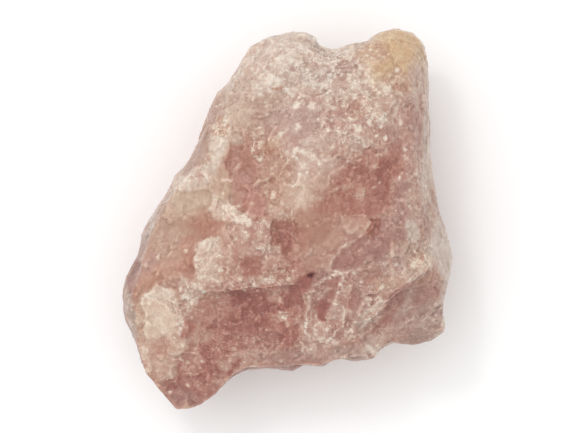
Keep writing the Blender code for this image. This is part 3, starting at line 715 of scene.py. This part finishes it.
foot = smooth(0.3, 1.5, skin.points[:, 2])
grain = shares["grain"] * foot
bent = drift(3, size=1.6, seed=131, layers=2)
calm_rim = 1 - 0.6 * near_rim(reach=3.5) * (1 - on_top)
for size, tilt, step, dish, least, seed in SHARDS:
    near, away, random = shards((skin.points + bent * size * 0.2) / size, seed)
    facing = (away * (random * 2 - 1)).sum(axis=1)
    height = tilt * facing + step * (random[:, 0] - 0.5) * 2 - dish * (1 - near * near)
    amount = (least + (1 - least) * grain) * foot * calm_rim
    skin.points += skin.normals * (height * size * amount)[:, None]
    shares["pale"] = shares["pale"] + (random[:, 1] - 0.42) * PALE_SHARDS * grain
ripple = RIPPLE * cloud(size=2.2, seed=301, fall=0.6) * (0.25 + grain) * foot
skin.points += skin.normals * ripple[:, None]
skin.refresh()

# Broken edges are made pale, partly as real bruising and partly as a painted highlight, and the feet
# of ledges are darkened as painted shade. Burrs are knocked off.
CREASE_SHADE_AND_EDGE_HIGHLIGHT = (-0.07, 0.16)  # the most that a foot is darkened and that an edge is made pale
BURR = (0.15, 0.35)  # mm out of true: left alone below the first, mostly gone past the second
calm = skin.relaxed(skin.points, 6)
edge = ((skin.points - calm) * skin.normals).sum(axis=1)
burr = smooth(*BURR, np.abs(edge))
skin.points += (calm - skin.points) * (0.8 * burr)[:, None]
edge = skin.relaxed(edge[:, None], 1)[:, 0]
# painted shade in the feet of ledges, and pale edges that are partly bruising and partly painted
# highlight
crease_shade_and_edge_highlight = np.clip(edge * 1.3, *CREASE_SHADE_AND_EDGE_HIGHLIGHT) * (0.5 + 0.5 * above_ground)
# The thin rim is ashen and a little stained, and at the near left and near edge it is darkened as
# painted shade.
rim = near_rim(reach=4.5) * (1 - on_top)
near_left = smooth(0, -8, skin.points[:, 1]) * smooth(0, -12, skin.points[:, 0])
painted_rim_shade = np.maximum(near_left, smooth(-32, -37, skin.points[:, 1]))
# the rim at the near left and near edge is painted darker as painted shade
shares["pale"] = shares["pale"] + crease_shade_and_edge_highlight - 0.28 * rim * painted_rim_shade + 0.04 * rim * (1 - painted_rim_shade)
shares["grey"] = shares["grey"] + 0.35 * rim * (1 - shares["grey"])
shares["ochre"] = shares["ochre"] + 0.15 * rim * (1 - shares["ochre"])

# Nothing stands out past the plain chunk's box.
low, high = np.array(CAD_BOX) / MM
skin.points = np.clip(skin.points, low, high)
skin.refresh()

mesh = skin.mesh
mesh.name = "rose_quartz_chunk"
for name, values in {**shares, "speck": speck}.items():
    layer = mesh.attributes.new(name, "FLOAT", "POINT")
    layer.data.foreach_set("value", values.astype(np.float32))
mesh.polygons.foreach_set("use_smooth", np.ones(len(mesh.polygons), bool))
chunk = bpy.data.objects.new("rose_quartz_chunk", mesh)
bpy.context.scene.collection.objects.link(chunk)


def linear(code):
    """An sRGB hex colour as linear red, green, blue and alpha."""
    parts = [int(code[i : i + 2], 16) / 255 for i in (0, 2, 4)]
    return tuple(p / 12.92 if p <= 0.04045 else ((p + 0.055) / 1.055) ** 2.4 for p in parts) + (1.0,)


def add(tree, kind, settings, inputs):
    """Adds a node with its settings and its inputs, each a plain value or another node's output,
    and gives back its outputs."""
    node = tree.nodes.new("ShaderNode" + kind)
    for name, value in settings.items():
        setattr(node, name, value)
    for name, value in inputs.items():
        if isinstance(value, bpy.types.NodeSocket):
            tree.links.new(value, node.inputs[name])
        else:
            node.inputs[name].default_value = value
    return node.outputs


# From clearest to palest, where the stone is clean, iron-stained and ashen.
TONES = {
    "rose": ((0.0, "955b50"), (0.25, "ab7466"), (0.5, "ba8f7f"), (0.78, "cdb1a0"), (1.0, "e3d5c6")),
    "ochre": ((0.0, "93684c"), (0.5, "bb9874"), (1.0, "d9c3a0")),
    "grey": ((0.0, "86706a"), (0.5, "b09c92"), (1.0, "d6ccc2")),
}
INCLUSION = "4c0a04"  # dark red iron mineral
MOTTLES = {
    # size in mm, detail, roughness, distortion
    "clouds": (5.0, 3.0, 0.55, 0.6),
    "crumbs": (1.3, 4.0, 0.70, 0.3),
    "sugar": (0.31, 2.0, 0.70, 0.0),
}
CRYSTALS = {"big": (2.1, 0.25), "small": (0.62, 0.35)}  # size in mm and slope of the facets
RAGGED_SIZE, RAGGED_BY = 0.9, 0.5  # mm, the size of the wander of a ragged edge and how far
FLECKS = 1.7  # mm apart
CRACKS = 4.6  # mm apart
FIBRES = (0.55, 3.6, 0.9)  # mm across, along and deep
FIBRES_TURN = -20  # degrees
SMOOTHEST, ROUGHER = 0.17, 0.24  # roughness of the smoothest facet, and how much it may rise
CRUMB_HEIGHT = 0.12  # mm


def quartz():
    """Rose quartz: cloudy and faintly glassy, deep rose where it is clear, milk white where it
    is veined or crushed, and ochre where iron water has soaked in."""
    material = bpy.data.materials.new("rose_quartz_rough")
    material.use_nodes = True
    tree = material.node_tree
    shader = tree.nodes["Principled BSDF"]
    where = add(tree, "TexCoord", {}, {})["Object"]
    share = {}
    for name in (*shares, "speck"):
        share[name] = add(tree, "Attribute", {"attribute_name": name}, {})["Fac"]

    # Places a little out of true, so that no cell or facet has a ruled edge.
    settings = {"Vector": where, "Scale": 1 / (RAGGED_SIZE * MM), "Detail": 2.0}
    stir = add(tree, "TexNoise", {}, settings)
    half = (0.5, 0.5, 0.5)
    centred = add(tree, "VectorMath", {"operation": "SUBTRACT"}, {0: stir["Color"], 1: half})[0]
    push = {0: centred, 1: (RAGGED_BY * MM,) * 3, 2: where}
    ragged = add(tree, "VectorMath", {"operation": "MULTIPLY_ADD"}, push)[0]

    mottle = {}
    for name, (size, detail, roughness, distortion) in MOTTLES.items():
        settings = {"Vector": where, "Scale": 1 / (size * MM), "Detail": detail}
        settings |= {"Roughness": roughness, "Distortion": distortion}
        mottle[name] = add(tree, "TexNoise", {}, settings)["Fac"]

    # Facets at every tilt: each crystal's height in metres and a number of its own.
    height, number = {}, {}
    for name, (size, slope) in CRYSTALS.items():
        cell = add(tree, "TexVoronoi", {}, {"Vector": ragged, "Scale": 1 / (size * MM)})
        offset = add(tree, "VectorMath", {"operation": "SUBTRACT"}, {0: ragged, 1: cell["Position"]})
        facing = add(tree, "VectorMath", {"operation": "SUBTRACT"}, {0: cell["Color"], 1: half})
        dot = add(tree, "VectorMath", {"operation": "DOT_PRODUCT"}, {0: offset[0], 1: facing[0]})
        height[name] = add(tree, "Math", {"operation": "MULTIPLY"}, {0: dot["Value"], 1: 2 * slope})[0]
        number[name] = add(tree, "SeparateColor", {}, {"Color": cell["Color"]})["Red"]

    # Marks, eased at their edges. Each is there only where all of its measures say so.
    cells = add(tree, "TexVoronoi", {}, {"Vector": ragged, "Scale": 1 / (FLECKS * MM)})
    kind = add(tree, "SeparateColor", {}, {"Color": cells["Color"]})
    net = {"Vector": ragged, "Scale": 1 / (CRACKS * MM)}
    crack = add(tree, "TexVoronoi", {"feature": "DISTANCE_TO_EDGE"}, net)["Distance"]
    marks = {
        # measure, where it begins and where it is full
        "flecks": ((cells["Distance"], 0.50, 0.20), (kind["Green"], 0.55, 0.90)),
        # painted glints: tiny white dots in the colour that stand in for highlights
        "glints": ((cells["Distance"], 0.20, 0.08), (kind["Blue"], 0.50, 0.95)),
        "cracks": ((crack, 0.055, 0.012), (mottle["clouds"], 0.46, 0.60)),
        "bright": ((number["small"], 0.80, 0.97),),
    }
    mark = {}
    for name, measures in marks.items():
        for measure, low, high in measures:
            limits = {"Value": measure, 1: low, 2: high, 3: 0.0, 4: 1.0}
            eased = add(tree, "MapRange", {"interpolation_type": "SMOOTHSTEP"}, limits)[0]
            if name in mark:
                eased = add(tree, "Math", {"operation": "MULTIPLY"}, {0: mark[name], 1: eased})[0]
            mark[name] = eased

    scale = tuple(1 / (size * MM) for size in FIBRES)
    turned = {"Vector": where, "Rotation": (0.0, 0.0, math.radians(FIBRES_TURN)), "Scale": scale}
    along = add(tree, "Mapping", {}, turned)[0]
    fibres = add(tree, "TexNoise", {}, {"Vector": along, "Scale": 1.0, "Detail": 2.0})["Fac"]

    # How pale: the share painted on the skin, raised or lowered by each pattern in turn.
    lifts = (
        # pattern, its middle, how much it counts everywhere, and how much more where crushed
        (mottle["clouds"], 0.5, 0.34, 0.0),
        (mark["cracks"], 0.05, 0.08, 0.26),
        (fibres, 0.5, 0.06, 0.42),
        (mottle["crumbs"], 0.5, 0.08, 0.24),
        (mottle["sugar"], 0.5, 0.34, 1.25),
        (number["big"], 0.5, 0.03, 0.10),
        (mark["bright"], 0.1, 0.02, 0.42),
        (mark["flecks"], 0.15, 0.08, 0.40),
        # the glints are painted highlights in the colour
        (mark["glints"], 0.02, 0.30, 0.40),
    )
    multiply_add = {"operation": "MULTIPLY_ADD"}
    pale = share["pale"]
    for pattern, middle, least, crushed in lifts:
        off = add(tree, "Math", {"operation": "SUBTRACT"}, {0: pattern, 1: middle})[0]
        size = add(tree, "Math", multiply_add, {0: share["grain"], 1: crushed, 2: least})[0]
        pale = add(tree, "Math", multiply_add, {0: off, 1: size, 2: pale})[0]
    pale = add(tree, "Clamp", {}, {"Value": pale})[0]

    colour = None
    for name, stops in TONES.items():
        tone = add(tree, "ValToRGB", {}, {"Fac": pale})["Color"]
        elements = tone.node.color_ramp.elements
        while len(elements) < len(stops):
            elements.new(0.5)
        for element, (place, code) in zip(elements, stops):
            element.position = place
            element.color = linear(code)
        if colour is None:
            colour = tone
        else:
            colour = add(tree, "Mix", {"data_type": "RGBA"}, {0: share[name], 6: colour, 7: tone})[2]
    dark = {0: share["speck"], 6: colour, 7: linear(INCLUSION)}
    colour = add(tree, "Mix", {"data_type": "RGBA"}, dark)[2]
    tree.links.new(colour, shader.inputs["Base Color"])

    rough = add(tree, "Math", multiply_add, {0: number["big"], 1: ROUGHER, 2: SMOOTHEST})[0]
    tree.links.new(rough, shader.inputs["Roughness"])
    shader.inputs["IOR"].default_value = 1.54
    shader.inputs["Subsurface Weight"].default_value = 0.7
    shader.inputs["Subsurface Radius"].default_value = (1.0, 0.80, 0.74)
    shader.inputs["Subsurface Scale"].default_value = 2.0 * MM

    # Facets stand out where the stone is crushed, and hardly at all where it broke clean.
    crushed = add(tree, "Math", multiply_add, {0: share["grain"], 1: 0.85, 2: 0.15})[0]
    both = add(tree, "Math", {"operation": "ADD"}, {0: height["big"], 1: height["small"]})[0]
    facets = add(tree, "Math", {"operation": "MULTIPLY"}, {0: both, 1: crushed})[0]
    relief = add(tree, "Math", multiply_add, {0: mottle["crumbs"], 1: CRUMB_HEIGHT * MM, 2: facets})[0]
    bump = add(tree, "Bump", {}, {"Height": relief, "Strength": 1.0, "Distance": 1.0})
    tree.links.new(bump["Normal"], shader.inputs["Normal"])
    return material


chunk.data.materials.clear()
chunk.data.materials.append(quartz())
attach(chunk, "root")
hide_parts("rose_quartz")

# ---------------------------------------------------------------------------
# The setting: a plain white table in a bright room, with a big soft light over the far left and
# a small one near its middle for the glints.
# ---------------------------------------------------------------------------
ROOM_LIGHT = 0.935
CAMERA_HEIGHT = 1.022  # m
LENS = 237  # mm, so long that the chunk is seen almost without perspective

bpy.ops.mesh.primitive_plane_add(size=6, location=(0, 0, 0))
table = bpy.context.object
table.name = "table"
card = bpy.data.materials.new("white_card")
card.use_nodes = True
paper = card.node_tree.nodes["Principled BSDF"]
paper.inputs["Base Color"].default_value = linear("fbfbfb")
paper.inputs["Roughness"].default_value = 0.9
table.data.materials.append(card)

room = bpy.data.worlds.new("bright_room")
bpy.context.scene.world = room
room.use_nodes = True
background = room.node_tree.nodes["Background"]
background.inputs["Color"].default_value = linear("ffffff")
background.inputs["Strength"].default_value = ROOM_LIGHT


def soft_light(name, place, size, power):
    """A square light of that size in metres and power in watts, turned to the chunk."""
    data = bpy.data.lights.new(name, "AREA")
    data.size = size
    data.energy = power
    light = bpy.data.objects.new(name, data)
    bpy.context.scene.collection.objects.link(light)
    light.location = place
    light.rotation_euler = (-Vector(place)).to_track_quat("-Z", "Y").to_euler()


soft_light("key", place=(-0.45, 0.50, 1.00), size=1.2, power=3.8)
soft_light("glint", place=(-0.40, 0.55, 1.00), size=0.20, power=1.4)

camera_data = bpy.data.cameras.new("camera")
camera_data.lens = LENS
camera_data.clip_end = 20
camera = bpy.data.objects.new("camera", camera_data)
bpy.context.scene.collection.objects.link(camera)
camera.location = (0.00017, 0.00051, CAMERA_HEIGHT)
bpy.context.scene.camera = camera
bpy.context.scene.view_settings.view_transform = "Standard"
